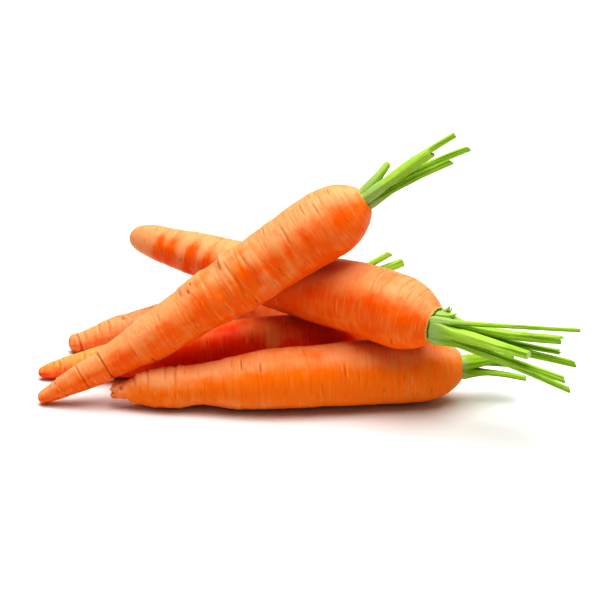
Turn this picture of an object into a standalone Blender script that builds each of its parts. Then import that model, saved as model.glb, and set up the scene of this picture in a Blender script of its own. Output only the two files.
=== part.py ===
"""A heap of five carrots, each one a root with its trimmed leaf stalks.

Lengths in the tables below are millimetres in the heap's own layout: +X runs to
the right along the two front roots, +Y to the back and +Z up from the ground.
Every root is lofted along a spine from its tip to its crown, and every stalk
along a bent path that starts on the crown. The finished heap is then centred, so
that the middle of the underside of its box is the origin.
"""

import math
from dataclasses import dataclass

import bmesh
import bpy
from mathutils import Matrix, Vector

MM = 0.001

ROOT_SIDES = 22
TIP_RINGS = 4
BODY_RINGS = 19
SHOULDER_RINGS = 6
TIP_HOLE = 0.12  # radius of the first ring, as a share of the tip's radius
SHOULDER_LENGTH = 1.3  # length of the rounded shoulder, as a share of its radius
DISH_DEPTH = 1.2  # how far the crown sinks inside the ring of stalks
DISH_FLOOR = 0.93  # radius of the dish's floor, as a share of its rim

STALK_SIDES = 8
STALK_RINGS = 7
FOOT_LIFT = 0.4  # clear height of a stalk's foot over the crown's floor
STRAIGHT_SHARE = 0.42  # share of a stalk's reach that leaves straight out of the crown

ROOT_COLOUR = (0.90, 0.22, 0.02, 1.0)
STALK_COLOUR = (0.33, 0.55, 0.08, 1.0)
SKIN_ROUGHNESS = 0.42
STALK_ROUGHNESS = 0.5


@dataclass(frozen=True)
class Stalk:
    """A leaf stalk: where its foot stands on the crown, where it ends and how wide it is."""

    name: str
    angle: float  # degrees round the crown: 0 faces the front, 90 faces up
    offset: float  # distance of the foot from the middle of the crown
    end: tuple  # X, Y and Z of the cut end
    widths: tuple  # width at the foot, half way and at the cut end
    flatness: float = 0.8  # thickness as a share of the width
    rise: float = 0.0  # how far its knee is lifted


@dataclass(frozen=True)
class Carrot:
    """A root and its stalks. Spine and girths are given at equal steps from tip to crown."""

    name: str
    spine: tuple  # X, Y and height of the underside above the ground
    girths: tuple  # diameters
    neck: float  # radius of the dish that the stalks stand in
    stalks: tuple


FRONT = Carrot(
    name="front_carrot",
    spine=((-94, 4, 4.5), (-50, 4, 0.2), (-6, 3.5, 0.0), (38, 8.5, 0.0), (81, 12, 3.0)),
    girths=(6, 20.0, 21.8, 28.6, 31.2, 31.8, 33.4, 34.0, 30.5),
    neck=7.0,
    stalks=(
        Stalk("front_stalk_fat", 60, 3.0, (107, 15, 23), (5.6, 6.6, 5.6), 0.9),
        Stalk("front_stalk_middle", 180, 3.2, (110, 19, 15), (4.6, 3.8, 3.4)),
        Stalk("front_stalk_low", 300, 3.2, (114, 9, 12.5), (4.8, 3.6, 3.4)),
    ),
)

BACK = Carrot(
    name="back_carrot",
    spine=((-136, 34, -0.2), (-93, 36, -0.4), (-50, 36.5, -0.4), (-7, 38, -0.4), (36, 43.5, -0.4)),
    girths=(5.2, 13.8, 19.5, 24.6, 28.6, 31.4, 33.4, 34.0, 33.5),
    neck=6.5,
    stalks=(
        Stalk("back_stalk_thick", 70, 3.2, (58, 48, 24), (4.8, 5.0, 4.4)),
        Stalk("back_stalk_right", 190, 3.2, (62, 52, 16), (4.6, 3.8, 3.4)),
        Stalk("back_stalk_low", 310, 3.2, (60, 42, 10), (4.6, 3.8, 3.2)),
    ),
)

REAR = Carrot(
    name="rear_carrot",
    spine=((-124, 65, 0.0), (-89, 73, -0.4), (-53, 84, -0.4), (-17, 98, -0.4), (17, 114, 0.2)),
    girths=(7.6, 14.6, 19.2, 22.4, 25.4, 28.5, 31.4, 33.4, 33.0),
    neck=6.5,
    stalks=(
        Stalk("rear_stalk_high", 60, 3.0, (50.2, 124, 31.3), (4.2, 3.4, 3.2), rise=1.5),
        Stalk("rear_stalk_fat", 320, 3.0, (57.9, 125, 25.6), (4.2, 5.2, 4.8), 0.7, rise=2.0),
        Stalk("rear_stalk_short", 190, 3.2, (46, 131, 18), (4.4, 3.8, 3.4)),
    ),
)

MIDDLE = Carrot(
    name="middle_carrot",
    spine=((-91, 96, 46.5), (-51.5, 71.6, 40.5), (-11.5, 47.0, 34.5), (28, 18.5, 34.8), (66, -8.5, 33.2)),
    girths=(12, 19.6, 24.0, 27.6, 31.0, 34.0, 36.4, 37.4, 36.0),
    neck=8.2,
    stalks=(
        Stalk("middle_stalk_thin", 40, 5.6, (132.5, -28, 57.5), (3.4, 2.6, 2.2), rise=7.0),
        Stalk("middle_stalk_ragged", 160, 5.6, (125.5, -20, 48.5), (3.6, 5.0, 5.2), rise=-2.4),
        Stalk("middle_stalk_sheath", 0, 5.4, (107, -41, 51), (3.6, 6.4, 5.8), 0.55, rise=1.5),
        Stalk("middle_stalk_forked", 320, 5.6, (124, -44, 39.5), (3.5, 4.2, 3.6)),
        Stalk("middle_stalk_low", 280, 5.6, (127.5, -41, 32.5), (3.5, 3.2, 2.8)),
        Stalk("middle_stalk_under", 240, 5.6, (132, -22, 36.5), (3.5, 4.1, 3.8), rise=1.9),
        Stalk("middle_stalk_hind", 200, 5.6, (125.5, -15, 39.5), (3.5, 3.6, 3.2)),
        Stalk("middle_stub_front", 80, 5.8, (75, -15, 59), (2.8, 3.0, 2.6)),
        Stalk("middle_stub_hind", 120, 5.8, (72.5, -11, 61), (2.8, 2.6, 2.2)),
    ),
)

TOP = Carrot(
    name="top_carrot",
    spine=((-132, 6.8, -1.75), (-91, 9, 15.0), (-49.5, 14.5, 36.4), (-8, 19, 60.9), (32, 24, 87.0)),
    girths=(6.4, 14.2, 18.2, 23.6, 27.6, 31.0, 33.4, 35.2, 34.0),
    neck=6.0,
    stalks=(
        Stalk("top_stub_pale", 110, 3.0, (43, 30, 119.5), (4.2, 4.0, 3.6), rise=1.7),
        Stalk("top_stalk_thick", 20, 3.0, (75, 26, 136), (3.7, 7.0, 3.0), rise=2.4),
        Stalk("top_stalk_long", 200, 3.0, (82.5, 36, 125.5), (3.9, 3.4, 3.0)),
        Stalk("top_stalk_low", 290, 3.0, (73.5, 28, 121.5), (3.9, 3.6, 3.0)),
    ),
)

CARROTS = (FRONT, BACK, REAR, MIDDLE, TOP)


def along(values, share):
    """The smooth value a share (0 to 1) of the way through equally spaced numbers or vectors."""
    spans = len(values) - 1
    place = min(max(share, 0.0), 1.0) * spans
    first = min(int(place), spans - 1)
    u = place - first
    here, there = values[first], values[first + 1]
    before = values[first - 1] if first > 0 else here * 2 - there
    after = values[first + 2] if first + 2 <= spans else there * 2 - here
    slope_here, slope_there = (there - before) * 0.5, (after - here) * 0.5
    return (
        here * (2 * u**3 - 3 * u**2 + 1)
        + slope_here * (u**3 - 2 * u**2 + u)
        + there * (3 * u**2 - 2 * u**3)
        + slope_there * (u**3 - u**2)
    )


def spine_points(carrot):
    """Centres of the root's spine: the height of the underside plus the radius at each point."""
    last = len(carrot.spine) - 1
    points = []
    for i, (x, y, lift) in enumerate(carrot.spine):
        radius = along(carrot.girths, i / last) / 2
        points.append(Vector((x, y, lift + radius)))
    return points


def ring_frame(centre, direction, width, thickness):
    """Places a unit circle: its X half-axis lies level across the direction, its Y half-axis upwards."""
    forward = direction.normalized()
    side = forward.cross(Vector((0, 0, 1))).normalized()
    up = side.cross(forward)
    turn = Matrix((side, up, forward)).transposed().to_4x4()
    return Matrix.Translation(centre) @ turn @ Matrix.Diagonal((width, thickness, 1, 1))


def crown_frame(carrot):
    """The frame of the crown's middle: X to the front side, Y up, Z out along the spine."""
    points = spine_points(carrot)
    step = 0.01
    direction = along(points, 1.0) - along(points, 1.0 - step)
    return ring_frame(along(points, 1.0), direction, 1, 1)


def root_rings(carrot):
    """Ring frames from the rounded tip, along the body and over the shoulder into the crown's dish."""
    points = spine_points(carrot)
    length = sum((a - b).length for a, b in zip(points, points[1:]))
    tip_radius = along(carrot.girths, 0.0) / 2
    shoulder_radius = carrot.girths[-1] / 2
    shoulder_length = SHOULDER_LENGTH * shoulder_radius
    body_end = length - shoulder_length

    profile = []
    for i in range(TIP_RINGS):
        turn = math.pi / 2 * i / TIP_RINGS
        share = max(math.sin(turn), TIP_HOLE)
        profile.append((tip_radius * (1 - math.cos(turn)), share))
    for i in range(BODY_RINGS):
        profile.append((tip_radius + (body_end - tip_radius) * i / (BODY_RINGS - 1), 1.0))
    last_turn = math.acos(carrot.neck / shoulder_radius)
    for i in range(1, SHOULDER_RINGS + 1):
        turn = last_turn * i / SHOULDER_RINGS
        rise = math.sin(turn) / math.sin(last_turn)
        profile.append((body_end + shoulder_length * rise, math.cos(turn)))
    profile.append((length - DISH_DEPTH, profile[-1][1] * DISH_FLOOR))

    rings = []
    step = 0.01
    for distance, radius_share in profile:
        share = distance / length
        radius = along(carrot.girths, share) / 2 * radius_share
        direction = along(points, share + step) - along(points, share - step)
        rings.append(ring_frame(along(points, share), direction, radius, radius))
    return rings


def stalk_rings(carrot, stalk):
    """Ring frames from the foot, straight out of the crown at first and then bent towards the end."""
    crown = crown_frame(carrot)
    outward = crown.to_3x3() @ Vector((0, 0, 1))
    angle = math.radians(stalk.angle)
    floor = FOOT_LIFT - DISH_DEPTH
    foot = crown @ Vector((stalk.offset * math.cos(angle), stalk.offset * math.sin(angle), floor))
    end = Vector(stalk.end)
    knee = foot + outward * (end - foot).length * STRAIGHT_SHARE + Vector((0, 0, stalk.rise))

    rings = []
    for i in range(STALK_RINGS + 1):
        u = i / STALK_RINGS
        centre = foot * (1 - u) ** 2 + knee * 2 * u * (1 - u) + end * u**2
        direction = (knee - foot) * (1 - u) + (end - knee) * u
        width = along(stalk.widths, u) / 2
        rings.append(ring_frame(centre, direction, width, width * stalk.flatness))
    return rings


def loft(name, rings, sides):
    """A closed solid through the rings, in metres, with flat ends."""
    bm = bmesh.new()
    bmesh.ops.create_circle(bm, segments=sides, radius=1, matrix=rings[0])
    edge_loop = list(bm.edges)
    for here, there in zip(rings, rings[1:]):
        grown = bmesh.ops.extrude_edge_only(bm, edges=edge_loop)["geom"]
        edge_loop = [item for item in grown if isinstance(item, bmesh.types.BMEdge)]
        corners = [item for item in grown if isinstance(item, bmesh.types.BMVert)]
        bmesh.ops.transform(bm, matrix=there @ here.inverted(), verts=corners)
    bmesh.ops.holes_fill(bm, edges=bm.edges, sides=sides)
    bmesh.ops.recalc_face_normals(bm, faces=bm.faces)
    bmesh.ops.scale(bm, vec=(MM, MM, MM), verts=bm.verts)
    mesh = bpy.data.meshes.new(name)
    bm.to_mesh(mesh)
    bm.free()
    mesh.shade_smooth()
    mesh.set_sharp_from_angle(angle=math.radians(50))
    return mesh


def material(name, colour, roughness):
    """A plain material with the piece's colour."""
    made = bpy.data.materials.new(name)
    made.use_nodes = True
    shader = made.node_tree.nodes["Principled BSDF"]
    shader.inputs["Base Color"].default_value = colour
    shader.inputs["Roughness"].default_value = roughness
    shader.inputs["Metallic"].default_value = 0.0
    return made


def add_piece(name, rings, sides, origin, parent, finish):
    """Adds a lofted piece whose object stands at origin (in millimetres) under its parent."""
    local = [Matrix.Translation(-origin) @ ring for ring in rings]
    piece = bpy.data.objects.new(name, loft(name, local, sides))
    piece.data.materials.append(finish)
    bpy.context.collection.objects.link(piece)
    piece.parent = parent
    parent_place = parent.matrix_world.translation
    piece.location = origin * MM - parent_place
    bpy.context.view_layer.update()
    return piece


def add_carrot(carrot, heap):
    """Adds the root under the heap, and its stalks under the root."""
    crown = crown_frame(carrot).translation
    skin = material(f"{carrot.name}_skin", ROOT_COLOUR, SKIN_ROUGHNESS)
    root = add_piece(f"{carrot.name}_root", root_rings(carrot), ROOT_SIDES, crown, heap, skin)
    pieces = [root]
    for stalk in carrot.stalks:
        rings = stalk_rings(carrot, stalk)
        green = material(f"{stalk.name}_green", STALK_COLOUR, STALK_ROUGHNESS)
        pieces.append(add_piece(stalk.name, rings, STALK_SIDES, rings[0].translation, root, green))
    return pieces


def centre_heap(heap, pieces):
    """Moves the heap so that the middle of the underside of its box is the origin."""
    corners = [piece.matrix_world @ vertex.co for piece in pieces for vertex in piece.data.vertices]
    low = Vector([min(corner[i] for corner in corners) for i in range(3)])
    high = Vector([max(corner[i] for corner in corners) for i in range(3)])
    heap.location = -Vector(((low.x + high.x) / 2, (low.y + high.y) / 2, low.z))
    bpy.context.view_layer.update()


def main():
    """Clears the scene and builds the heap."""
    for old in list(bpy.data.objects):
        bpy.data.objects.remove(old, do_unlink=True)
    heap = bpy.data.objects.new("heap", None)
    bpy.context.collection.objects.link(heap)
    pieces = []
    for carrot in CARROTS:
        pieces += add_carrot(carrot, heap)
    centre_heap(heap, pieces)


main()
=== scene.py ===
"""Five fresh carrots with trimmed leaf stalks, heaped on a pale floor.

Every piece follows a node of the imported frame. The node is sliced to find its middle line and its
thickness, and a fine closed skin is laid along that line: a root with its rings, creases and slits,
or a ribbed stalk with a cut or torn end. Lengths in the tables are millimetres.
"""

import logging
import math
from dataclasses import dataclass
from enum import Enum
from typing import Any

import bmesh
import bpy
import numpy as np
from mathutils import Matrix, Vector


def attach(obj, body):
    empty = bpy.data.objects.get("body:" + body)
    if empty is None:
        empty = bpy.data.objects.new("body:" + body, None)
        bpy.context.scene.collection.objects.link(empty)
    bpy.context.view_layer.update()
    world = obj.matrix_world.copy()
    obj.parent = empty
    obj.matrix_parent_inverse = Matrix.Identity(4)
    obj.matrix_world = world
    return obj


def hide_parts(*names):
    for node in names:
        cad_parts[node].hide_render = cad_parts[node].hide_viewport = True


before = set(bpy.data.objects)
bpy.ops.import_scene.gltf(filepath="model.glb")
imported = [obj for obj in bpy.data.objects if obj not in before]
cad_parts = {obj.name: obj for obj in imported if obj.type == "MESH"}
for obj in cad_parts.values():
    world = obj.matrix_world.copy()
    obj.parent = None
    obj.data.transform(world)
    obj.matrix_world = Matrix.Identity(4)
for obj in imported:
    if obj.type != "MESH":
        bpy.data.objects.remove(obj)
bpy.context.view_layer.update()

log = logging.getLogger("carrots")

MM = 0.001
BODY = "root"
UP = np.array((0.0, 0.0, 1.0))
QUARTER_TURN = math.pi / 2

Array = np.ndarray
Colour = tuple[float, float, float]
Triple = tuple[float, float, float]
Steps = tuple[tuple[float, float], ...]  # places and the values there, with straight lines between


class End(Enum):
    """How a leaf stalk was cut off."""

    SQUARE = "square"
    SLANTED = "slanted"
    TORN = "torn"


# ---- measuring the frame


def smooth_step(values: Array, low: float, high: float) -> Array:
    """Rises smoothly from 0 at low to 1 at high.

    Args:
        values: The numbers to map.
        low: Where the rise starts.
        high: Where it is complete. It may be under low, for a fall.

    Returns:
        Numbers from 0 to 1.
    """
    share = np.clip((values - low) / (high - low), 0.0, 1.0)
    return share * share * (3 - 2 * share)


def bell(values: Array, width: float) -> Array:
    """A smooth bump of height 1 round zero, that falls to 0.37 at width."""
    return np.exp(-((values / width) ** 2))


def turned_from(angle: Array, middle: float) -> Array:
    """The shortest turn from a middle angle to each angle, in radians."""
    return np.angle(np.exp(1j * (angle - middle)))


def draw(rng: np.random.Generator, low: float, high: float, power: float = 1.0) -> float:
    """A random number from low to high. A power above 1 favours the low ones."""
    return low + (high - low) * rng.random() ** power


class Grain:
    """Smooth repeatable noise over points in space."""

    TABLE_SIZE = 8192
    PRIMES = np.array((73856093, 19349663, 83492791))
    SHIFT = 1000.0  # keeps every place above zero

    def __init__(self, seed: int) -> None:
        """Args:
            seed: Picks the pattern.
        """
        self.table = np.random.default_rng(seed).uniform(-1.0, 1.0, self.TABLE_SIZE)

    def at(self, points: Array, cell: Triple) -> Array:
        """The noise at each point.

        Args:
            points: An N by 3 array.
            cell: The size of one lump of the noise along each axis.

        Returns:
            N numbers, mostly from -0.7 to 0.7.
        """
        place = points / np.array(cell) + self.SHIFT
        base = np.floor(place).astype(np.int64)
        share = place - base
        share = share * share * (3 - 2 * share)
        total = np.zeros(len(points))
        for corner in range(8):
            bits = np.array((corner & 1, corner >> 1 & 1, corner >> 2 & 1))
            spot = (base + bits) * self.PRIMES
            index = (spot[:, 0] ^ spot[:, 1] ^ spot[:, 2]) % self.TABLE_SIZE
            weight = np.where(bits == 1, share, 1 - share).prod(axis=1)
            total += self.table[index] * weight
        return total


@dataclass(frozen=True)
class Ripple:
    """Unevenness of a skin: its height, and the length and width of its lumps."""

    height: float
    length: float
    width: float
    start: float = 0.0  # keeps it apart from the other ripples of one grain

    def over(self, grain: Grain, grown: Array) -> Array:
        """Its height at each point of a skin."""
        return self.height * grain.at(grown + self.start, (self.length, self.width, self.width))


@dataclass(frozen=True)
class Spine:
    """The middle line of a frame node, with its half sizes, from its start to its crown or cut end."""

    MERGE = 1e-6  # metres
    END_MARGIN = 1.6  # how far from a node's ends the last slices lie
    END_SHARE = 0.12  # and the most that this may be of a short node
    ROUNDS = 3  # how often the slices are turned square to the line and cut again

    distances: Array
    centres: Array
    sides: Array
    ups: Array
    halves: Array  # half width and half height at each distance

    @property
    def length(self) -> float:
        """The length of the middle line, in millimetres."""
        return float(self.distances[-1])

    @classmethod
    def measure(cls, node: str, stations: int, degree: int) -> "Spine":
        """Slices a node of the frame square to its own middle line.

        Args:
            node: The node's name.
            stations: How many slices are cut.
            degree: The degree of the smooth line fitted through the slices' centres.

        Returns:
            The measured spine.
        """
        bm = bmesh.new()
        bm.from_mesh(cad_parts[node].data)
        bmesh.ops.remove_doubles(bm, verts=bm.verts, dist=cls.MERGE)
        bmesh.ops.scale(bm, vec=(1 / MM, 1 / MM, 1 / MM), verts=bm.verts)
        points = np.array([vertex.co for vertex in bm.verts])
        middle = points.mean(axis=0)
        chord = np.linalg.svd(points - middle, full_matrices=False)[2][0]
        chord = chord * np.sign(chord[0])
        reach = (points - middle) @ chord
        low, high = reach.min(), reach.max()
        spread = -np.cos(np.linspace(0.0, math.pi, stations))
        margin = min(cls.END_MARGIN, cls.END_SHARE * (high - low))
        steps = (low + high) / 2 + spread * ((high - low) / 2 - margin)
        line = middle + steps[:, None] * chord
        tangents = np.tile(chord, (stations, 1))
        for _ in range(cls.ROUNDS):
            line = np.array([cls.slice(bm, spot, way).mean(axis=0) for spot, way in zip(line, tangents)])
            fits = [np.polyfit(steps, line[:, axis], degree) for axis in range(3)]
            line = np.stack([np.polyval(fit, steps) for fit in fits], axis=1)
            tangents = np.stack([np.polyval(np.polyder(fit), steps) for fit in fits], axis=1)
            tangents /= np.linalg.norm(tangents, axis=1)[:, None]
        start = line[0] + tangents[0] * ((points - line[0]) @ tangents[0]).min()
        finish = line[-1] + tangents[-1] * ((points - line[-1]) @ tangents[-1]).max()
        sides = np.cross(UP, tangents)
        sides /= np.linalg.norm(sides, axis=1)[:, None]
        ups = np.cross(tangents, sides)
        halves = []
        for spot, way, side, up in zip(line, tangents, sides, ups):
            rim = cls.slice(bm, spot, way) - spot
            halves.append((np.abs(rim @ side).max(), np.abs(rim @ up).max()))
        bm.free()
        centres = np.vstack((start, line, finish))
        sides = np.vstack((sides[0], sides, sides[-1]))
        ups = np.vstack((ups[0], ups, ups[-1]))
        halves = np.vstack((halves[0], np.array(halves), halves[-1]))
        gaps = np.linalg.norm(np.diff(centres, axis=0), axis=1)
        return cls(np.concatenate(((0.0,), np.cumsum(gaps))), centres, sides, ups, halves)

    @staticmethod
    def slice(bm: bmesh.types.BMesh, spot: Array, way: Array) -> Array:
        """The corners where a plane cuts the node.

        Args:
            bm: The node's mesh.
            spot: A point on the plane.
            way: The plane's normal.

        Returns:
            An N by 3 array.
        """
        cut = bm.copy()
        geometry = cut.verts[:] + cut.edges[:] + cut.faces[:]
        made = bmesh.ops.bisect_plane(cut, geom=geometry, plane_co=Vector(spot), plane_no=Vector(way))
        found = np.array([item.co for item in made["geom_cut"] if isinstance(item, bmesh.types.BMVert)])
        cut.free()
        return found

    def read(self, values: Array, distance: Array) -> Array:
        """Reads rows of measured values at other distances.

        Args:
            values: One row for each measured distance.
            distance: The wanted distances.

        Returns:
            One row for each wanted distance.
        """
        return np.stack([np.interp(distance, self.distances, column) for column in values.T], axis=1)


# ---- skins laid along a spine


@dataclass
class Skin:
    """A closed tube's surface: where each of its points lies along and round the spine."""

    mesh: bpy.types.Mesh
    share: Array  # from 0 at the first pole to 1 at the last
    angle: Array  # radians round the spine: 0 faces the front, a quarter turn faces up

    @classmethod
    def round(cls, name: str, around: int, along: int) -> "Skin":
        """A ball whose poles become the two ends of a piece.

        Args:
            name: The mesh's name.
            around: How many points go round.
            along: How many rings lie from pole to pole.

        Returns:
            The skin, still in the shape of a ball.
        """
        pattern = bpy.data.meshes.get(f"ball_{around}_{along}")
        if pattern is None:
            bm = bmesh.new()
            bmesh.ops.create_uvsphere(bm, u_segments=around, v_segments=along, radius=1.0)
            pattern = bpy.data.meshes.new(f"ball_{around}_{along}")
            bm.to_mesh(pattern)
            bm.free()
            pattern.shade_smooth()
        mesh = pattern.copy()
        mesh.name = name
        ball = np.empty(len(mesh.vertices) * 3, np.float32)
        mesh.vertices.foreach_get("co", ball)
        x, y, z = ball.reshape(-1, 3).astype(float).T
        share = np.arctan2(np.hypot(x, y), -z) / math.pi
        return cls(mesh, share, math.pi - np.arctan2(y, x))

    def lay(self, spine: Spine, distance: Array, across: Array, upward: Array) -> None:
        """Moves every point to its place round the spine.

        Args:
            spine: The measured spine.
            distance: Each point's distance along it, which may pass its ends a little.
            across: Each point's distance from the spine to the back side.
            upward: Each point's distance above it.
        """
        inside = np.clip(distance, 0.0, spine.length)
        place = spine.read(spine.centres, inside)
        side = spine.read(spine.sides, inside)
        up = spine.read(spine.ups, inside)
        ahead = np.cross(side, up)
        place += ahead * (distance - inside)[:, None]
        place += side * across[:, None] + up * upward[:, None]
        self.mesh.vertices.foreach_set("co", (place * MM).astype(np.float32).ravel())
        self.mesh.update()

    def note(self, name: str, values: Array) -> None:
        """Stores a value, or a vector, at every point for the finish to read.

        Args:
            name: The attribute's name.
            values: N numbers, or an N by 3 array.
        """
        vector = values.ndim == 2
        kind, key = ("FLOAT_VECTOR", "vector") if vector else ("FLOAT", "value")
        layer = self.mesh.attributes.new(name, kind, "POINT")
        layer.data.foreach_set(key, values.astype(np.float32).ravel())

    def place(self, node: str, slot: str, finish: bpy.types.Material) -> bpy.types.Object:
        """Puts the finished skin in the scene in place of its frame node.

        Args:
            node: The frame node that the piece stands for.
            slot: The record's material slot; not used.
            finish: The piece's material.

        Returns:
            The piece.
        """
        piece = bpy.data.objects.new(self.mesh.name, self.mesh)
        bpy.context.scene.collection.objects.link(piece)
        self.mesh.materials.append(finish)
        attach(piece, BODY)
        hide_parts(node)
        log.info("%s: %d faces in place of %s", piece.name, len(self.mesh.polygons), node)
        return piece


def even_profile(distance: Array, radius: Array, share: Array) -> tuple[Array, Array]:
    """Spreads rings evenly over a profile.

    Args:
        distance: The profile points' distances along the spine.
        radius: Their distances from it.
        share: Each skin point's place between the poles, from 0 to 1.

    Returns:
        The distance and the radius at each skin point.
    """
    path = np.concatenate(((0.0,), np.cumsum(np.hypot(np.diff(distance), np.diff(radius)))))
    where = share * path[-1]
    return np.interp(where, path, distance), np.interp(where, path, radius)


# ---- shader building


class Value:
    """A shader socket that takes part in Python sums."""

    def __init__(self, paint: "Paint", socket: bpy.types.NodeSocket) -> None:
        """Args:
            paint: The material under way.
            socket: The output socket that gives the value.
        """
        self.paint = paint
        self.socket = socket

    def sum(self, operation: str, first: Any, second: Any) -> "Value":
        """A Math node on two values, each a number or a Value."""
        return self.paint.node("ShaderNodeMath", {"operation": operation}, {0: first, 1: second})

    def __add__(self, other: Any) -> "Value":
        """self + other."""
        return self.sum("ADD", self, other)

    def __radd__(self, other: Any) -> "Value":
        """other + self."""
        return self.sum("ADD", other, self)

    def __sub__(self, other: Any) -> "Value":
        """self - other."""
        return self.sum("SUBTRACT", self, other)

    def __rsub__(self, other: Any) -> "Value":
        """other - self."""
        return self.sum("SUBTRACT", other, self)

    def __mul__(self, other: Any) -> "Value":
        """self * other."""
        return self.sum("MULTIPLY", self, other)

    def __rmul__(self, other: Any) -> "Value":
        """other * self."""
        return self.sum("MULTIPLY", other, self)


class Paint:
    """One material built from nodes round a Principled shader."""

    MIX_FACTOR, MIX_FIRST, MIX_SECOND = 0, 6, 7  # a Mix node's sockets for colours
    MIX_COLOUR = 2  # and its output

    def __init__(self, name: str) -> None:
        """Args:
            name: The material's name.
        """
        self.material = bpy.data.materials.new(name)
        self.material.use_nodes = True
        self.tree = self.material.node_tree
        self.shader = self.tree.nodes["Principled BSDF"]

    def put(self, socket: bpy.types.NodeSocket, value: Any) -> None:
        """Sets a socket to a number, a colour or a link.

        Args:
            socket: The input socket.
            value: A Value to link, or what the socket is set to.
        """
        if isinstance(value, Value):
            self.tree.links.new(value.socket, socket)
        elif isinstance(value, tuple) and len(value) == 3 and socket.type == "RGBA":
            socket.default_value = (*value, 1.0)
        else:
            socket.default_value = value

    def node(self, kind: str, settings: dict[str, Any], inputs: dict[Any, Any], output: Any = 0) -> Value:
        """Adds any node.

        Args:
            kind: The node's type.
            settings: Its settings.
            inputs: Values or links for its sockets, by name or number.
            output: The output socket that is wanted.

        Returns:
            The value of that output.
        """
        made = self.tree.nodes.new(kind)
        for key, setting in settings.items():
            setattr(made, key, setting)
        for key, value in inputs.items():
            self.put(made.inputs[key], value)
        return Value(self, made.outputs[output])

    def attribute(self, name: str, output: str = "Fac") -> Value:
        """Reads a value that the piece's skin carries."""
        return self.node("ShaderNodeAttribute", {"attribute_name": name}, {}, output)

    def stretched(self, vector: Value, scale: Triple) -> Value:
        """Scales a vector along each axis."""
        return self.node("ShaderNodeVectorMath", {"operation": "MULTIPLY"}, {0: vector, 1: scale})

    def noise(self, vector: Value, scale: Triple, detail: float = 2.0) -> Value:
        """Noise over a vector.

        Args:
            vector: The coordinates.
            scale: Lumps in a metre along each axis.
            detail: How many finer layers are added.

        Returns:
            A value round 0.5.
        """
        inputs = {"Vector": self.stretched(vector, scale), "Scale": 1.0, "Detail": detail, "Roughness": 0.55}
        return self.node("ShaderNodeTexNoise", {}, inputs, "Fac")

    def between(self, value: Value, low: float, high: float) -> Value:
        """Rises smoothly from 0 at low to 1 at high, or falls where high is under low."""
        inputs = {"Value": value, "From Min": low, "From Max": high, "To Min": 0.0, "To Max": 1.0}
        return self.node("ShaderNodeMapRange", {"interpolation_type": "SMOOTHSTEP"}, inputs)

    def mix(self, factor: Any, first: Any, second: Any) -> Value:
        """Blends two colours.

        Args:
            factor: 0 for the first, 1 for the second.
            first: A colour or a Value.
            second: A colour or a Value.

        Returns:
            The blended colour.
        """
        inputs = {self.MIX_FACTOR: factor, self.MIX_FIRST: first, self.MIX_SECOND: second}
        return self.node("ShaderNodeMix", {"data_type": "RGBA"}, inputs, self.MIX_COLOUR)

    def bump(self, height: Value, strength: float, distance: float) -> Value:
        """A normal that follows a height."""
        inputs = {"Height": height, "Strength": strength, "Distance": distance}
        return self.node("ShaderNodeBump", {}, inputs)

    def finish(
        self, colour: Any, roughness: Any, normal: Value | None, fixed: dict[str, Any]
    ) -> bpy.types.Material:
        """Joins the finished values to the shader.

        Args:
            colour: The base colour.
            roughness: The roughness.
            normal: The normal, or None for the plain surface.
            fixed: Other sockets of the shader, by name, with their fixed values.

        Returns:
            The material.
        """
        self.put(self.shader.inputs["Base Color"], colour)
        self.put(self.shader.inputs["Roughness"], roughness)
        if normal is not None:
            self.put(self.shader.inputs["Normal"], normal)
        for name, value in fixed.items():
            self.put(self.shader.inputs[name], value)
        return self.material


@dataclass(frozen=True)
class Glow:
    """Light that soaks into a fresh plant's skin."""

    weight: float
    spread: Triple  # how far each colour spreads, as shares of the depth
    depth: float  # metres
    gloss: float

    def sockets(self) -> dict[str, Any]:
        """The shader's fixed sockets."""
        return {
            "Subsurface Weight": self.weight,
            "Subsurface Radius": self.spread,
            "Subsurface Scale": self.depth,
            "Specular IOR Level": self.gloss,
        }


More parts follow.
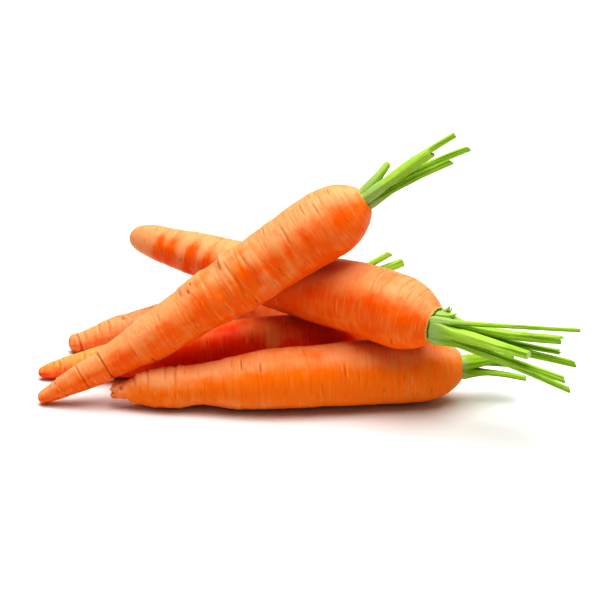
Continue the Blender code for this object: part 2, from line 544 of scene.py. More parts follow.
@dataclass(frozen=True)
class CarrotSkin:
    """Moist orange skin with fine rings, pale scuffs and brown slits, a painted highlight on its top and its
    rings' ridges, and painted shade in the rings' valleys.
    """

    deep: Colour = (0.84, 0.110, 0.000)
    bright: Colour = (0.86, 0.200, 0.001)
    # pale is the colour of dry skin and pale threads, and also of the painted highlight on top
    pale: Colour = (0.82, 0.370, 0.160)
    slit: Colour = (0.30, 0.070, 0.010)
    scuff: Colour = (0.90, 0.42, 0.16)
    crown: Colour = (0.12, 0.13, 0.02)
    collar: Colour = (0.55, 0.50, 0.10)
    roughness: float = 0.42
    glow: Glow = Glow(0.22, (1.0, 0.25, 0.08), 0.004, 0.14)
    # lumps in a metre along the root and round it
    clouds: Triple = (28.0, 60.0, 60.0)
    blotches: Triple = (95.0, 120.0, 120.0)
    bands: Triple = (420.0, 22.0, 22.0)
    threads: Triple = (1300.0, 70.0, 70.0)
    flecks: Triple = (900.0, 260.0, 260.0)
    stains: Triple = (500.0, 500.0, 500.0)
    pores: Triple = (1800.0, 900.0, 900.0)
    relief: float = 0.0004  # metres

    def paint(self, name: str, warmth: float, dust_and_highlight: float) -> bpy.types.Material:
        """Builds the material.

        Args:
            name: The material's name.
            warmth: Shifts the whole skin, from 0 for redder to 1 for yellower.
            dust_and_highlight: Makes the skin paler, from 0 to 1: dry skin, and most on its top, where the
                paleness is also a painted highlight.

        Returns:
            The material.
        """
        paint = Paint(name)
        along = paint.attribute("grown", "Vector")
        cloud = paint.noise(along, self.clouds, 3.0)
        bands = paint.noise(along, self.bands, 3.0)
        threads = paint.noise(along, self.threads)
        flecks = paint.noise(along, self.flecks, 1.0)
        blotches = paint.noise(along, self.blotches)

        warmer = (warmth - 0.5) * 0.3
        tone = paint.between(cloud * 0.4 + bands * 0.3 + blotches * 0.3 + warmer, 0.25, 0.77)
        colour = paint.mix(tone, self.deep, self.bright)
        patches = (cloud - 0.5) * 0.6 + (blotches - 0.5) * 1.3 + (bands - 0.5) * 0.6
        # painted highlight: the upward-facing skin and the rings' tops are blended towards pale as if lit
        # from above, and painted shade keeps the rings' valleys deeper; the noise patches are real dry skin
        dry = paint.attribute("painted_top_highlight") - paint.attribute("painted_light_and_tint") + patches + dust_and_highlight
        colour = paint.mix(paint.between(dry, -0.1, 1.35), colour, self.pale)
        colour = paint.mix(paint.between(threads, 0.58, 0.72) * 0.40, colour, self.pale)
        colour = paint.mix(paint.between(threads, 0.44, 0.30) * 0.50, colour, self.deep)
        colour = paint.mix(paint.between(flecks, 0.70, 0.80) * 0.35, colour, self.slit)
        colour = paint.mix(paint.attribute("scuffed") * 0.75, colour, self.scuff)
        colour = paint.mix(paint.attribute("creased"), colour, self.slit)
        stain = paint.noise(along, self.stains, 3.0) - 0.5
        collar = paint.attribute("collar")
        colour = paint.mix(paint.between(collar + stain * 0.5, 0.25, 0.60) * 0.8, colour, self.collar)
        colour = paint.mix(paint.between(collar + stain * 0.8, 0.50, 0.85), colour, self.crown)

        height = bands * 0.5 + threads * 0.5 + paint.noise(along, self.pores) * 0.25
        normal = paint.bump(height, 0.5, self.relief)
        roughness = self.roughness + (cloud - 0.5) * 0.25 + (threads - 0.5) * 0.2
        return paint.finish(colour, roughness, normal, self.glow.sockets())


@dataclass(frozen=True)
class StalkGreen:
    """Crisp green stalk, ribbed lengthwise and paler at its foot."""

    green: Colour = (0.260, 0.430, 0.008)
    light: Colour = (0.400, 0.590, 0.080)
    dark: Colour = (0.110, 0.240, 0.002)
    foot: Colour = (0.350, 0.500, 0.140)
    pith: Colour = (0.500, 0.680, 0.220)
    dry: Colour = (0.300, 0.270, 0.110)
    roughness: float = 0.45
    glow: Glow = Glow(0.2, (0.35, 1.0, 0.1), 0.002, 0.22)
    # lumps in a metre along the stalk and round it
    clouds: Triple = (90.0, 200.0, 200.0)
    ribs: Triple = (30.0, 1100.0, 1100.0)
    fibres: Triple = (60.0, 3200.0, 3200.0)
    relief: float = 0.0005  # metres

    def paint(self, name: str, tone: float) -> bpy.types.Material:
        """Builds the material.

        Args:
            name: The material's name.
            tone: From 0 for a dark stalk to 1 for a light one.

        Returns:
            The material.
        """
        paint = Paint(name)
        along = paint.attribute("grown", "Vector")
        ribs = paint.noise(along, self.ribs)
        fibres = paint.noise(along, self.fibres)
        cloud = paint.noise(along, self.clouds)
        mixed = paint.between(ribs * 0.6 + cloud * 0.4 + (tone - 0.5) * 0.3, 0.32, 0.70)
        colour = paint.mix(mixed, self.green, self.light)
        colour = paint.mix(paint.between(ribs, 0.46, 0.30) * 0.65, colour, self.dark)
        colour = paint.mix(paint.between(fibres, 0.60, 0.75) * 0.3, colour, self.light)
        foot = paint.attribute("foot") + (ribs - 0.5) * 0.5
        colour = paint.mix(paint.between(foot, 0.10, 0.95), colour, self.foot)
        colour = paint.mix(paint.attribute("cut"), colour, self.pith)
        colour = paint.mix(paint.attribute("dried") * 0.7, colour, self.dry)
        normal = paint.bump(ribs * 0.7 + fibres * 0.3, 0.6, self.relief)
        roughness = self.roughness + (fibres - 0.5) * 0.2
        return paint.finish(colour, roughness, normal, self.glow.sockets())


@dataclass(frozen=True)
class PaleFloor:
    """A plain white floor."""

    colour: Colour = (0.82, 0.82, 0.82)
    roughness: float = 0.9
    gloss: float = 0.1

    def paint(self, name: str) -> bpy.types.Material:
        """Builds the material under the given name."""
        return Paint(name).finish(self.colour, self.roughness, None, {"Specular IOR Level": self.gloss})


# ---- roots


@dataclass(frozen=True)
class Crease:
    """A groove across a root's skin."""

    at: float  # distance from the tip
    facing: float = 40.0  # degrees round the root: 0 faces the front, 90 up
    reach: float = 60.0  # degrees to each side
    depth: float = 0.5
    width: float = 0.8
    step: float = 0.0  # how much lower the skin lies on the tip's side
    slant: float = 0.0  # how far it runs towards the crown over a quarter turn upwards
    stain: float = 0.8  # how dark it is
    bow: float = 0.0  # how far its ends bend back towards the tip


@dataclass(frozen=True)
class Swell:
    """A soft lump or hollow of a root, whose patch of skin is painted deeper or paler: mostly painted shade
    and painted highlight, with some real tint.
    """

    at: float
    facing: float
    length: float
    reach: float
    height: float  # above zero for a lump, under it for a hollow
    tint_and_light: float = 0.0  # above zero for a deeper orange, under it for a paler one: mostly painted shade and painted highlight, with some real tint


@dataclass
class Root:
    """One carrot root."""

    node: str
    seed: int
    creases: tuple[Crease, ...] = ()
    swells: tuple[Swell, ...] = ()
    slits: int = 60
    rings: Steps = ((0.0, 1.0),)  # distance from the tip, strength of its rings
    warmth: float = 0.5
    dust_and_highlight: float = 0.0  # how much paler the skin is: dry skin, and most on top, the painted highlight
    neck: float = 6.5  # radius of the hollow in the crown
    lip: float = 0.0  # how far the crown's edge stands out round the stalks
    stained: float = 1.0  # how dark the crown's edge is
    frayed: float = 0.0  # how ragged the tip is
    around: int = 128
    along: int = 600
    finish: CarrotSkin = CarrotSkin()

    STATIONS, DEGREE = 48, 6  # slices of the frame node, and the degree of the line through them
    TIP_CAP = 2.0  # a round cap replaces the outline nearer to the tip than this
    SHOULDER = 1.12  # the outline stops where the root is this much wider than its neck
    CROWN = ((-0.6, 0.76), (-1.2, 0.4), (-1.4, 0.0))  # height over the end, share of the neck
    FINE, BLUR = 1200, 24  # outline points, and how many of them a corner is rounded over

    LUMPS = Ripple(0.55, 20.0, 15.0)
    DRAWN_IN = 0.25  # keeps the lumps inside the solid
    COARSE_RINGS = Ripple(0.20, 4.2, 26.0)
    FINE_RINGS = Ripple(0.09, 1.6, 16.0, 300.0)
    FOLDS = Ripple(0.30, 6.5, 18.0, 500.0)
    PORES = Ripple(0.04, 1.2, 2.5, 700.0)
    WANDER = Ripple(0.5, 30.0, 7.0, 50.0)  # how creases stray from straight
    CRUMBS = Ripple(0.8, 2.0, 2.4, 900.0)  # gaps in the colour of slits
    HAIRS = Ripple(1.0, 0.9, 9.0, 1500.0)
    TEETH = Ripple(1.0, 1.0, 0.9)
    CREASE_ZONE, SLIT_ZONE = 30.0, 5.0  # how far from its line a cut changes the skin
    STEP_REACH = 7.0  # how far a step in the skin takes to level out
    LIP = 0.35  # height of the lip beside a cut, as a share of its depth
    RING_PAINTED_LIGHT = 0.9  # how much paler the tops of rings and how much deeper their valleys are painted, as painted light and shade

    def profile(self, spine: Spine, share: Array) -> tuple[Array, Array]:
        """The root's outline from the tip to the middle of the crown.

        Args:
            spine: The measured spine.
            share: Each point's place between the poles.

        Returns:
            The distance and the radius at each point.
        """
        length = spine.length
        radius = spine.halves.mean(axis=1)
        slim = (spine.distances >= length / 2) & (radius <= self.neck * self.SHOULDER)
        keep = (spine.distances > self.TIP_CAP) & (spine.distances < length - 0.2) & ~slim
        first, first_at = radius[keep][0], spine.distances[keep][0]
        turns = np.linspace(0.0, QUARTER_TURN, 8)[:-1]
        rim = np.array(((self.lip, 1.0), (self.lip, 0.91), *self.CROWN))
        tip = first_at * (1 - np.cos(turns))
        distance = np.concatenate((tip, spine.distances[keep], length + rim[:, 0]))
        outline = np.concatenate((first * np.sin(turns), radius[keep], self.neck * rim[:, 1]))
        smooth_distance, smooth_radius = even_profile(distance, outline, np.linspace(0.0, 1.0, self.FINE))
        kernel = bell(np.arange(-self.BLUR, self.BLUR + 1), self.BLUR / 2)
        kernel /= kernel.sum()
        for values in (smooth_distance, smooth_radius):
            before = 2 * values[0] - values[self.BLUR : 0 : -1]
            after = 2 * values[-1] - values[-2 : -self.BLUR - 2 : -1]
            values[:] = np.convolve(np.concatenate((before, values, after)), kernel, mode="valid")
        smooth_radius = np.abs(smooth_radius)
        smooth_radius[0] = smooth_radius[-1] = 0.0
        return even_profile(smooth_distance, smooth_radius, share)

    def random_slits(self, length: float) -> list[Crease]:
        """Short slits scattered over the skin.

        Args:
            length: The root's length.

        Returns:
            The slits.
        """
        rng = np.random.default_rng(self.seed)
        made = []
        for _ in range(self.slits):
            at = length * draw(rng, 0.04, 0.97)
            made.append(
                Crease(
                    at=at,
                    facing=draw(rng, 0.0, 360.0),
                    reach=draw(rng, 4.0, 17.0, 2.0) / (0.5 + at / length),
                    depth=draw(rng, 0.08, 0.28),
                    width=draw(rng, 0.35, 0.55),
                    slant=draw(rng, -1.0, 1.0),
                    stain=draw(rng, 0.2, 0.8, 1.5),
                )
            )
        return made

    def relief(self, grain: Grain, grown: Array, angle: Array) -> tuple[Array, Array]:
        """The skin's lumps, rings and swells.

        Args:
            grain: The root's noise.
            grown: Each point's distance from the tip, and its place in the root's section.
            angle: Each point's angle round the root.

        Returns:
            How far each point is lifted, and how much deeper its orange is: painted shade in the rings'
            valleys, painted light on their tops, and the swells' tints.
        """
        distance = grown[:, 0]
        rings = np.interp(distance, *zip(*self.rings))
        ridges = rings * (self.COARSE_RINGS.over(grain, grown) + self.FINE_RINGS.over(grain, grown))
        ridges += np.maximum(rings - 1.0, 0.0) * self.FOLDS.over(grain, grown)
        lift = self.LUMPS.over(grain, grown) - self.DRAWN_IN + ridges + self.PORES.over(grain, grown)
        # painted light and shade: ring ridges are painted paler and their valleys deeper
        painted_light_and_tint = -self.RING_PAINTED_LIGHT * ridges
        for swell in self.swells:
            turn = turned_from(angle, math.radians(swell.facing))
            here = bell(distance - swell.at, swell.length) * bell(turn, math.radians(swell.reach))
            lift += swell.height * here
            painted_light_and_tint += swell.tint_and_light * here
        return lift, painted_light_and_tint

    def cut_creases(
        self, slits: list[Crease], grain: Grain, grown: Array, angle: Array, lift: Array
    ) -> tuple[Array, Array]:
        """Cuts the large creases and the random slits into the skin.

        Args:
            slits: The random slits.
            grain: The root's noise.
            grown: Each point's distance from the tip, and its place in the root's section.
            angle: Each point's angle round the root.
            lift: How far each point is lifted, which the creases change.

        Returns:
            How dark each point is stained, and how far it is scuffed.
        """
        distance = grown[:, 0]
        creased = np.zeros(len(distance))
        scuffed = np.zeros(len(distance))
        wander = self.WANDER.over(grain, grown)
        crumbs = np.clip(0.75 + self.CRUMBS.over(grain, grown), 0.2, 1.0)
        for number, cut in enumerate((*self.creases, *slits)):
            large = number < len(self.creases)
            near = np.abs(distance - cut.at) < (self.CREASE_ZONE if large else self.SLIT_ZONE)
            turn = turned_from(angle[near], math.radians(cut.facing))
            offset = distance[near] - cut.at - cut.slant * turn / QUARTER_TURN
            offset += wander[near] + cut.bow * turn**2
            reach = math.radians(cut.reach)
            window = smooth_step(np.abs(turn), reach, reach * 0.35)
            lips = self.LIP * bell(offset - 2.0 * cut.width, cut.width * 1.3)
            lift[near] += cut.depth * (lips - bell(offset, cut.width)) * window
            side = np.tanh(offset / 0.4) * np.exp(-np.abs(offset) / self.STEP_REACH)
            lift[near] += 0.5 * cut.step * window * side
            dark = cut.stain * bell(offset, cut.width * 0.6) * window
            creased[near] = np.maximum(creased[near], dark * (1.0 if large else crumbs[near]))
            if not large and number % 3 == 0:
                beside = bell(offset - 1.1, 0.45) * smooth_step(np.abs(turn), reach * 1.6, reach * 0.6)
                scuffed[near] = np.maximum(scuffed[near], 0.5 * beside)
        return creased, scuffed

    def build(self) -> bpy.types.Object:
        """Measures the frame node, lays the skin along it and dresses it.

        Returns:
            The piece.
        """
        spine = Spine.measure(self.node, self.STATIONS, self.DEGREE)
        skin = Skin.round(f"{self.node}_skin", self.around, self.along)
        distance, radius = self.profile(spine, skin.share)
        grain = Grain(self.seed)
        girth = float(spine.halves.max())
        round_x, round_y = np.cos(skin.angle), np.sin(skin.angle)
        grown = np.stack((distance, girth * round_x, girth * round_y), axis=1)

        lift, painted_light_and_tint = self.relief(grain, grown, skin.angle)
        slits = self.random_slits(spine.length)
        creased, scuffed = self.cut_creases(slits, grain, grown, skin.angle, lift)
        to_crown = smooth_step(distance, spine.length + 0.5, spine.length - 2.5)
        final = np.maximum(radius + lift * np.clip(radius / 2.5, 0.0, 1.0) * to_crown, 0.0)
        edge = np.stack((0.0 * round_x, 3.0 * round_x, 3.0 * round_y), axis=1)
        teeth = np.clip(0.5 + self.TEETH.over(grain, edge), 0.0, 1.2)
        fray = self.frayed * teeth * bell(distance - 2.2, 1.8)
        skin.lay(spine, distance - fray, -final * round_x, final * round_y)

        hairs = self.HAIRS.over(grain, grown)
        hair_marks = 0.22 * smooth_step(hairs, 0.35, 0.75)
        tip_dust = smooth_step(distance, 5.0, 0.0) * 0.35 * (hairs > 0.1)
        at_crown = smooth_step(radius, self.neck * 1.22, self.neck * 0.95) * (distance > spine.length * 0.9)
        skin.note("grown", grown * MM)
        # painted highlight: the skin that faces up is marked to be painted paler, as if lit from above
        skin.note("painted_top_highlight", smooth_step(round_y, 0.15, 1.05))
        skin.note("painted_light_and_tint", painted_light_and_tint)
        skin.note("scuffed", np.maximum(scuffed, hair_marks))
        skin.note("creased", np.clip(creased + tip_dust, 0.0, 1.0))
        skin.note("collar", at_crown * self.stained)
        finish = self.finish.paint(f"{self.node}_finish", self.warmth, self.dust_and_highlight)
        return skin.place(self.node, "carrot_root", finish)


# ---- stalks


@dataclass
class Stalk:
    """One trimmed leaf stalk."""

    node: str
    seed: int
    end: End = End.SQUARE
    tone: float = 0.5
    ribs: int = 9
    flare: float = 0.35  # how much wider the foot is
    pale: float = 14.0  # how far the pale foot reaches
    groove: float = 0.12  # depth of the furrow along its top
    foot_height: float = 0.35  # how much taller the foot is
    upper: Steps = ((0.0, 1.0),)  # share of the length, height above the line
    lower: Steps = ((0.0, 1.0),)  # and below it, as shares of the frame's
    across: Steps = ((0.0, 1.0),)  # and to the sides
    beak: float = 0.0  # share of the length where a torn strip sticks out underneath
    around: int = 48
    along: int = 150
    finish: StalkGreen = StalkGreen()

    STATIONS, DEGREE = 14, 3  # slices of the frame node, and the degree of the line through them
    FOOT = ((-0.3, 0.0), (-0.3, 0.8), (0.2, 1.0))  # distance from the foot, share of the radius
    CUT = ((-0.25, 1.0), (-0.07, 0.97), (0.0, 0.9), (-0.1, 0.5), (-0.25, 0.0))  # and from the cut end
    FOOT_REACH = 16.0  # how far the broad foot runs into the stalk
    RIB_HEIGHT = 0.045
    FURROW_FACING, FURROW_WIDTH = 1.7, 0.42  # radians

    UNEVEN = Ripple(0.05, 18.0, 0.9)
    WAVES = Ripple(0.05, 7.0, 3.0, 40.0)
    SAW_MARKS = Ripple(0.25, 50.0, 1.2, 90.0)
    TEETH = Ripple(1.0, 50.0, 0.7, 90.0)
    FINE_TEETH = Ripple(0.6, 50.0, 0.35, 190.0)
    DRIED = Ripple(0.6, 3.0, 0.8, 7.0)

    def cut_end(self, grain: Grain, ring: Array, inner: Array, rim: float) -> Array:
        """How far each point of the cut end stands out along the stalk.

        Args:
            grain: The stalk's noise.
            ring: Each point's distance from the foot, and its place in the stalk's section.
            inner: Each point's distance from the middle line, as a share of the rim's.
            rim: The stalk's radius at the cut.

        Returns:
            One distance for each point, which holds near the cut end.
        """
        if self.end is End.SLANTED:
            return 0.9 * rim * (0.3 * ring[:, 1] - 0.25 * ring[:, 2]) * inner
        if self.end is End.TORN:
            teeth = self.TEETH.over(grain, ring) + self.FINE_TEETH.over(grain, ring)
            return (1.9 * teeth - 0.6) * inner - 0.8 * (1 - inner)
        return self.SAW_MARKS.over(grain, ring) * inner

    def build(self) -> bpy.types.Object:
        """Measures the frame node, lays the ribbed stalk along it and dresses it.

        Returns:
            The piece.
        """
        spine = Spine.measure(self.node, self.STATIONS, self.DEGREE)
        skin = Skin.round(f"{self.node}_green", self.around, self.along)
        grain = Grain(self.seed)
        length = spine.length
        rim = float(spine.halves[-1].mean())
        foot, cut = np.array(self.FOOT), np.array(self.CUT)
        distance = np.concatenate((foot[:, 0], length + cut[:, 0]))
        outline = np.concatenate((foot[:, 1], cut[:, 1])) * rim
        along, radius = even_profile(distance, outline, skin.share)
        halves = spine.read(spine.halves, np.clip(along, 0.0, length)) / rim

        round_x, round_y = np.cos(skin.angle), np.sin(skin.angle)
        ring = np.stack((along, 2.0 * round_x, 2.0 * round_y), axis=1)
        ridges = self.RIB_HEIGHT * np.cos(self.ribs * skin.angle + self.seed)
        furrow = self.groove * bell(turned_from(skin.angle, self.FURROW_FACING), self.FURROW_WIDTH)
        uneven = ridges + self.UNEVEN.over(grain, ring) - furrow + self.WAVES.over(grain, ring)
        body = radius * (1.0 + uneven * smooth_step(along, 0.0, 3.0))
        share = along / length
        shapes = (self.upper, self.lower, self.across)
        above, below, beside = (np.interp(share, *zip(*steps)) for steps in shapes)
        broad = smooth_step(along, self.FOOT_REACH, 0.0)
        across = -body * halves[:, 0] * (1.0 + self.flare * broad) * beside * round_x
        height = body * halves[:, 1] * (1.0 + self.foot_height * broad)
        upward = height * np.where(round_y > 0, above, below) * round_y

        inner = radius / rim
        ragged = self.cut_end(grain, ring, inner, rim) * smooth_step(along, length - 4.0, length)
        if self.beak:
            ragged += 3.0 * bell(share - self.beak, 0.02) * np.clip(-round_y, 0.0, 1.0) ** 2
        skin.lay(spine, along + ragged, across, upward)

        on_cut = smooth_step(inner, 0.93, 0.80) * (along > length / 2)
        dried = smooth_step(along, length - 1.6, length - 0.1) * (0.5 + self.DRIED.over(grain, ring))
        skin.note("grown", ring * MM)
        skin.note("foot", smooth_step(along, self.pale, self.pale * 0.12))
        skin.note("cut", on_cut)
        skin.note("dried", np.clip(dried * (1 - on_cut), 0.0, 1.0))
        return skin.place(self.node, "leaf_stalk", self.finish.paint(f"{self.node}_finish", self.tone))


# ---- the five carrots
#
# Crease: at, facing, reach, depth, width, step, slant, stain, bow.
# Swell: at, facing, length, reach, height, tint (mostly painted light and shade, with some real tint).


@dataclass
class Carrot:
    """A root and its stalks."""

    root: Root
    stalks: tuple[Stalk, ...]

    def build(self) -> list[bpy.types.Object]:
        """Builds the root and then each stalk."""
        return [self.root.build()] + [stalk.build() for stalk in self.stalks]


TOP_CREASES = (
    Crease(13.0, 80, 45, 0.35, 0.6, 0.7, -1.0, 0.25),
    Crease(15.0, -40, 40, 0.4, 0.6, -0.3, stain=0.4),
    Crease(27.6, 25, 120, 0.55, 0.5, -0.3, -1.0, 0.6, 0.5),
    Crease(40.8, 20, 100, 0.65, 0.5, 0.0, -0.8, 0.7, 0.5),
    Crease(40.6, -55, 50, 0.2, 0.5, -1.6, 1.2, 0.3),
    Crease(39.1, 105, 45, 0.2, 0.6, 1.5, -3.0, 0.2),
    Crease(63.0, -45, 30, 0.7, 0.6, stain=0.4),
    Crease(92.5, 88, 30, 0.7, 0.8, 0.5, -1.0, 0.5),
    Crease(97.0, 64, 7, 0.5, 0.7, stain=0.9),
    Crease(99.5, 78, 6, 0.5, 0.6, stain=0.9),
    Crease(106.0, 45, 60, 0.35, 1.2, 0.0, -1.0, 0.0, 0.8),
    Crease(112.0, 35, 60, 0.35, 1.2, 0.0, -1.0, 0.0, 0.8),
    Crease(117.0, 84, 28, 0.9, 0.8, 2.2, -1.5, 0.5),
    Crease(120.5, 30, 55, 0.6, 1.0, -0.5, -1.0, 0.15, 1.2),
    Crease(130.0, 25, 50, 0.5, 0.9, -0.4, -1.0, 0.15, 1.2),
    Crease(144.0, 85, 20, 0.5, 0.5, -0.2, 0.0, 0.4),
    Crease(153.0, 45, 26, 0.5, 0.6, -0.3, 0.0, 0.3, 1.5),
    Crease(166.0, 70, 18, 0.4, 0.45, stain=0.35),
    Crease(172.0, 55, 16, 0.4, 0.45, stain=0.35),
    Crease(181.0, 80, 16, 0.4, 0.45, stain=0.3),
)
TOP_SWELLS = (
    Swell(33, 70, 6, 70, 0.3, -0.3),
    Swell(100, 85, 7, 50, 0.6, -0.2),
    Swell(114, 85, 3.5, 45, -0.7),
    Swell(122, 85, 5, 45, 1.0, -0.4),
    Swell(68, -60, 16, 70, 1.0),
    Swell(103, 20, 9, 60, 0.6, 0.3),
    Swell(125, 30, 4, 30, 0.3, 0.7),
    Swell(60, 60, 12, 50, 0.0, -0.4),
    Swell(155, 80, 14, 60, 0.3, -0.3),
)
TOP = Carrot(
    Root(
        "top_carrot_root", 11, creases=TOP_CREASES, swells=TOP_SWELLS, slits=90,
        rings=((0.0, 0.8), (45.0, 0.6), (84.0, 1.1), (98.0, 2.6), (132.0, 2.6), (146.0, 1.3), (194.0, 0.8)),
        dust_and_highlight=0.12, neck=6.2, stained=0.45,
    ),
    (
        Stalk(
            "top_stub_pale", 21, End.TORN, 1.0, pale=24.0, flare=0.5, groove=0.3,
            upper=((0.0, 1.1), (1.0, 1.25)), lower=((0.0, 1.5), (0.6, 1.5), (1.0, 1.0)),
        ),
        Stalk(
            "top_stalk_thick", 22, End.SQUARE, 0.8, ribs=7, pale=24.0, foot_height=0.9,
            upper=((0.0, 1.0), (0.66, 1.1), (0.74, 1.15), (1.0, 1.3)),
            lower=((0.0, 1.0), (0.5, 1.1), (0.69, 1.25), (0.725, 0.0), (0.9, 0.5), (1.0, 1.0)),
            across=((0.0, 1.0), (0.70, 1.0), (0.74, 0.7), (1.0, 1.1)), beak=0.695,
        ),
        Stalk(
            "top_stalk_long", 23, End.SLANTED, 0.65, pale=24.0, foot_height=0.8,
            upper=((0.0, 1.3),), lower=((0.0, 1.35),),
        ),
        Stalk(
            "top_stalk_low", 24, End.SLANTED, 0.5, foot_height=0.8,
            upper=((0.0, 1.25),), lower=((0.0, 1.2),),
        ),
    ),
)

MIDDLE_CREASES = (
    Crease(3.0, 60, 50, 0.3, 0.5, stain=0.4),
    Crease(28.0, 10, 50, 0.4, 0.5, 0.5, 0.0, 0.35),
    Crease(50.0, 20, 50, 0.4, 0.6, 0.5, 0.0, 0.25),
    Crease(150.0, 75, 16, 0.4, 0.45, stain=0.3),
    Crease(158.0, 55, 20, 0.4, 0.45, 0.0, -3.0, 0.4),
    Crease(163.0, 52, 14, 0.4, 0.4, 0.0, -3.0, 0.4),
    Crease(171.0, 70, 16, 0.4, 0.45, 0.0, -3.0, 0.35),
)
MIDDLE_SWELLS = (
    Swell(13, 90, 12, 75, 1.8),
    Swell(2, -90, 9, 90, -1.5),
    Swell(25, 5, 2.5, 60, -0.5, 1.0),
    Swell(33, 5, 3.0, 55, -0.3, 0.7),
    Swell(40, 30, 3.0, 80, 0.4, -0.8),
    Swell(45.5, 5, 2.6, 60, -0.6, 0.9),
    Swell(52, 20, 2.5, 70, 0.3, -0.7),
    Swell(57, 5, 2.5, 60, -0.4, 0.6),
    Swell(10, 30, 14, 120, 0.0, -1.2),
    Swell(66, 60, 12, 80, 0.0, -0.5),
    Swell(170, 0, 14, 40, 0.0, 0.3),
)
MIDDLE = Carrot(
    Root(
        "middle_carrot_root", 12, creases=MIDDLE_CREASES, swells=MIDDLE_SWELLS, slits=50,
        rings=((0.0, 0.9), (70.0, 0.9), (100.0, 0.6), (190.0, 0.6)), neck=8.4, lip=1.4, dust_and_highlight=0.05,
    ),
    (
        Stalk("middle_stalk_thin", 31, End.SQUARE, 0.45, ribs=6, pale=30.0, flare=0.9, foot_height=1.3),
        Stalk("middle_stalk_ragged", 32, End.TORN, 0.6, flare=1.0, foot_height=1.0, upper=((0.0, 1.15),)),
        # the sheath's high tone is its light green and also a painted highlight
        Stalk(
            "middle_stalk_sheath", 33, End.SQUARE, 0.8, ribs=5, groove=0.05, pale=16.0, flare=0.5,
            foot_height=1.6, upper=((0.0, 1.8), (0.35, 2.2), (0.7, 1.4), (1.0, 1.2)),
            lower=((0.0, 1.8), (0.3, 1.8), (0.6, 1.3), (1.0, 1.3)),
        ),
        Stalk("middle_stalk_forked", 34, End.SLANTED, 0.6, flare=1.0, foot_height=1.5, upper=((0.0, 1.3),)),
        Stalk("middle_stalk_low", 35, End.SLANTED, 0.5, flare=1.0, foot_height=1.5, lower=((0.0, 1.3),)),
        Stalk("middle_stalk_under", 36, End.SLANTED, 0.4, flare=0.9, foot_height=0.9, upper=((0.0, 1.2),)),
        Stalk("middle_stalk_hind", 37, End.TORN, 0.35, flare=0.8, foot_height=0.9),
        Stalk("middle_stub_front", 38, End.TORN, 0.8, flare=0.9, foot_height=0.9),
        Stalk("middle_stub_hind", 39, End.TORN, 0.8, flare=0.9, foot_height=0.9),
    ),
)

FRONT_CREASES = (
    Crease(5.0, 50, 22, 0.9, 0.8, 0.0, 0.0, 0.7),
    Crease(7.5, -60, 40, 0.9, 0.8, 0.8, 0.0, 0.2),
    Crease(12.0, 80, 45, 0.9, 0.9, 1.2, 0.0, 0.25),
    Crease(19.0, 75, 50, 0.4, 0.8, 0.4, 0.0, 0.2),
    Crease(27.5, 80, 60, 0.4, 0.9, 0.0, 0.0, 0.15),
    Crease(33.0, 80, 70, 0.5, 0.8, 0.5, 0.0, 0.15),
    Crease(66.5, 68, 22, 0.6, 0.5, stain=0.6),
    Crease(75.5, 52, 14, 0.6, 0.5, stain=0.7),
    Crease(97.0, 85, 18, 0.3, 0.5, stain=0.3),
    Crease(104.0, 0, 16, 0.3, 0.4, stain=0.3),
)
FRONT_SWELLS = (
    Swell(2, 60, 3, 100, 1.2, 0.0),
    Swell(1, 45, 5, 180, 0.0, -1.0),
    Swell(16, 80, 7, 60, 1.6),
    Swell(46, -80, 8, 50, -0.9),
    Swell(30, 80, 8, 60, 0.6),
    Swell(60, -40, 30, 35, 0.0, -0.7),
    Swell(52, 70, 10, 40, 0.0, -0.5),
    Swell(27, 75, 9, 60, 0.0, -0.8),
    Swell(95, 25, 30, 40, 0.0, 0.3),
)
FRONT = Carrot(
    Root(
        "front_carrot_root", 13, creases=FRONT_CREASES, swells=FRONT_SWELLS, slits=70, warmth=1.3,
        neck=7.0, stained=0.3, rings=((0.0, 2.4), (28.0, 2.4), (45.0, 1.5), (70.0, 1.2), (176.0, 1.2)),
        frayed=2.4, dust_and_highlight=-0.1,
    ),
    (
        # painted shade: the low tones and short pale feet of these stalks stand for the middle carrot's
        # shade over them
        Stalk("front_stalk_fat", 41, End.SQUARE, 0.35, pale=6.0, flare=0.6, foot_height=0.5),
        Stalk("front_stalk_middle", 42, End.SQUARE, 0.25, pale=6.0, flare=0.6, foot_height=1.0),
        Stalk("front_stalk_low", 43, End.SQUARE, 0.45, pale=6.0, flare=0.6, foot_height=1.0),
    ),
)

# A redder copy of the carrot skin for the back carrot: painted shade and painted red reflection from the
# carrots round it
PAINTED_SHADE_SKIN = CarrotSkin(deep=(0.90, 0.055, 0.001), bright=(0.95, 0.120, 0.002), pale=(0.92, 0.360, 0.100))

BACK_CREASES = (
    Crease(4.0, 60, 60, 0.3, 0.6, 0.0, 0.0, 0.3),
    Crease(12.5, 50, 50, 0.5, 0.7, 0.5, 0.0, 0.3),
    Crease(26.0, 60, 60, 0.4, 0.7, 0.2, 0.0, 0.2),
    Crease(113.0, 45, 22, 0.6, 0.6, 0.3, 1.5, 0.3),
    Crease(119.0, 30, 45, 0.7, 0.9, 0.5, 2.0, 0.2),
    Crease(128.0, 60, 60, 0.4, 0.9, 0.0, 1.0, 0.1),
)
# painted shade: the deeper tints at 95 and 145 mm paint the back carrot's red shade
BACK_SWELLS = (
    Swell(9, 70, 4, 60, 0.6),
    Swell(15, 70, 3, 60, 0.5, -0.5),
    Swell(108, 80, 9, 70, 0.8),
    Swell(123, 40, 4, 60, 0.6, -0.9),
    Swell(25, 60, 25, 120, 0.0, -0.6),
    Swell(95, 20, 20, 90, 0.0, 0.7),
    Swell(145, 20, 14, 90, 0.0, 1.0),
)
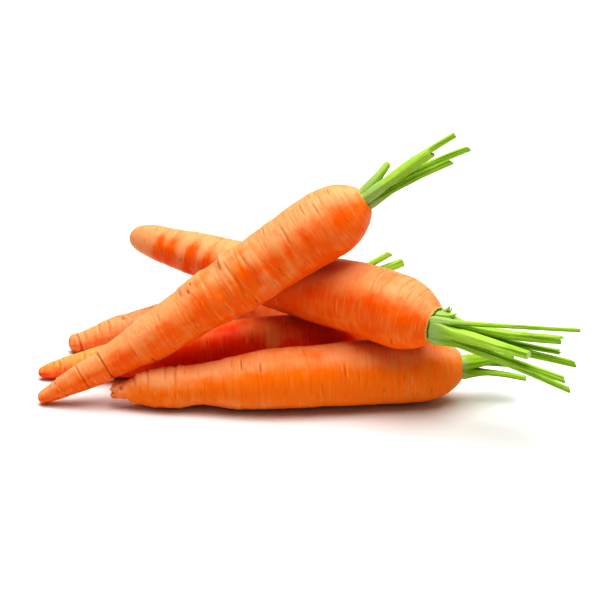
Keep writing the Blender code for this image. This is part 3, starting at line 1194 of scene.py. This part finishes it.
# painted shade: the back carrot's low warmth also paints its red shade
BACK = Carrot(
    Root(
        "back_carrot_root", 14, creases=BACK_CREASES, swells=BACK_SWELLS, slits=50, warmth=0.3, neck=6.5,
        rings=((0.0, 1.2), (60.0, 0.8), (140.0, 1.0)), finish=PAINTED_SHADE_SKIN,
    ),
    (
        Stalk("back_stalk_thick", 51, End.SQUARE, 0.5, foot_height=0.8),
        Stalk("back_stalk_right", 52, End.SLANTED, 0.4, foot_height=0.8),
        Stalk("back_stalk_low", 53, End.TORN, 0.4, foot_height=0.8),
    ),
)

REAR_CREASES = (
    Crease(6.0, 40, 150, 0.8, 0.6, -0.9, -0.8, 0.5, 0.4),
    Crease(10.0, 60, 60, 0.4, 0.6, -0.2, 0.0, 0.25, 0.5),
    Crease(17.5, 75, 60, 0.5, 0.7, -0.3, 0.0, 0.2, 0.8),
    Crease(23.0, 60, 50, 0.5, 0.6, -0.3, 0.0, 0.35, 0.8),
    Crease(31.0, 80, 12, 0.9, 0.8, 0.0, 0.0, 0.8),
)
REAR_SWELLS = (
    Swell(3, 70, 3.5, 70, 0.9),
    Swell(3, -70, 3.5, 70, 0.8),
    Swell(3.5, 50, 2.0, 25, 0.3, -1.2),
    Swell(26, 85, 6, 60, 0.6),
    Swell(13, 70, 3, 60, -0.4),
)
REAR = Carrot(
    Root(
        "rear_carrot_root", 15, creases=REAR_CREASES, swells=REAR_SWELLS, slits=50, warmth=0.65,
        dust_and_highlight=0.55, neck=6.5, rings=((0.0, 1.0), (40.0, 1.2), (150.0, 0.8)),
    ),
    (
        Stalk(
            "rear_stalk_high", 61, End.SLANTED, 0.8, foot_height=0.8, pale=36.0,
            upper=((0.0, 1.3),), lower=((0.0, 1.4),),
        ),
        Stalk(
            "rear_stalk_fat", 62, End.SQUARE, 0.9, groove=0.3, foot_height=0.8, pale=36.0,
            upper=((0.0, 1.5),), lower=((0.0, 1.5),),
        ),
        Stalk("rear_stalk_short", 63, End.TORN, 0.5, foot_height=0.8),
    ),
)

CARROTS = (FRONT, BACK, REAR, MIDDLE, TOP)


# ---- studio


@dataclass(frozen=True)
class Studio:
    """Pale floor, soft light and the camera. Lengths are metres."""

    aim: tuple[float, float, float] = (0.0018, -0.0234, 0.0518)
    distance: float = 0.85
    elevation: float = 25.0  # degrees
    lens: float = 102.0  # millimetres, on the usual 36 mm sensor
    floor_side: float = 12.0
    sky: float = 0.18
    lamp_power: float = 24.0
    lamp_side: float = 1.4
    lamp_place: tuple[float, float, float] = (0.08, 0.06, 1.25)

    def build(self) -> None:
        """Adds the floor, the light and the camera."""
        scene = bpy.context.scene
        scene.view_settings.view_transform = "Standard"
        scene.view_settings.look = "High Contrast"
        bm = bmesh.new()
        bmesh.ops.create_grid(bm, x_segments=1, y_segments=1, size=self.floor_side / 2)
        mesh = bpy.data.meshes.new("floor")
        bm.to_mesh(mesh)
        bm.free()
        mesh.materials.append(PaleFloor().paint("floor_finish"))
        floor = bpy.data.objects.new("floor", mesh)
        scene.collection.objects.link(floor)

        world = bpy.data.worlds.new("sky")
        world.use_nodes = True
        world.node_tree.nodes["Background"].inputs["Strength"].default_value = self.sky
        world.node_tree.nodes["Background"].inputs["Color"].default_value = (1.0, 1.0, 1.0, 1.0)
        scene.world = world
        lamp = bpy.data.lights.new("soft_lamp", "AREA")
        lamp.energy = self.lamp_power
        lamp.size = self.lamp_side
        holder = bpy.data.objects.new("soft_lamp", lamp)
        holder.location = self.lamp_place
        holder.rotation_euler = (-Vector(self.lamp_place)).to_track_quat("-Z", "Y").to_euler()
        scene.collection.objects.link(holder)

        camera = bpy.data.cameras.new("camera")
        camera.lens = self.lens
        holder = bpy.data.objects.new("camera", camera)
        tilt = math.radians(self.elevation)
        back = Vector((0.0, -math.cos(tilt), math.sin(tilt)))
        holder.location = Vector(self.aim) + back * self.distance
        holder.rotation_euler = (math.pi / 2 - tilt, 0.0, 0.0)
        scene.collection.objects.link(holder)
        scene.camera = holder
        log.info("studio: camera %.2f m away, %g degrees up", self.distance, self.elevation)


def main() -> None:
    """Builds the studio and the five carrots."""
    logging.basicConfig(level=logging.INFO, format="%(message)s")
    Studio().build()
    for carrot in CARROTS:
        carrot.build()


if __name__ == "__main__":
    main()
